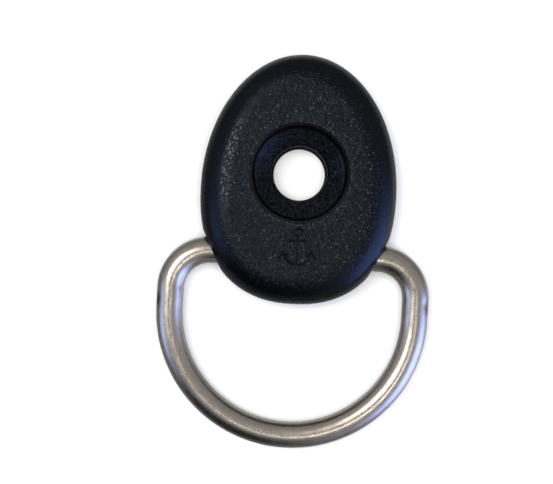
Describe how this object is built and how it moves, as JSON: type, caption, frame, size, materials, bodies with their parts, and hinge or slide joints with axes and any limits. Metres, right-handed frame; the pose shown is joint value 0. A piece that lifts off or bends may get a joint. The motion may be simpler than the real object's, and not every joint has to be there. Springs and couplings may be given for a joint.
{
  "type": "pad eye",
  "caption": "Deck pad eye: egg-shaped black nylon cover with a countersunk screw hole, and a stainless D-ring that swings on its straight bar in a channel closed by a keeper plate.",
  "frame": {"origin": "on the deck face, under the middle of the D-ring's bar", "axes": "+Z out of the deck, +Y from the ring's bar towards the screw hole and the narrow end, +X along the ring's bar"},
  "size_m": [0.031, 0.045, 0.0065],
  "materials": {
    "cover_nylon": "fine spark-eroded grain, satin",
    "keeper_nylon": "smooth, satin",
    "stainless": "tumbled, satin"
  },
  "bodies": {
    "base": {"cover": "cover_nylon", "keeper_plate": "keeper_nylon"},
    "ring": {"d_ring": "stainless"}
  },
  "joints": [
    {"name": "ring_swing", "type": "hinge", "parent": "base", "child": "ring", "pos_m": [0, 0, 0.00245], "axis": [-1, 0, 0], "range_deg": [0, 166]}
  ]
}
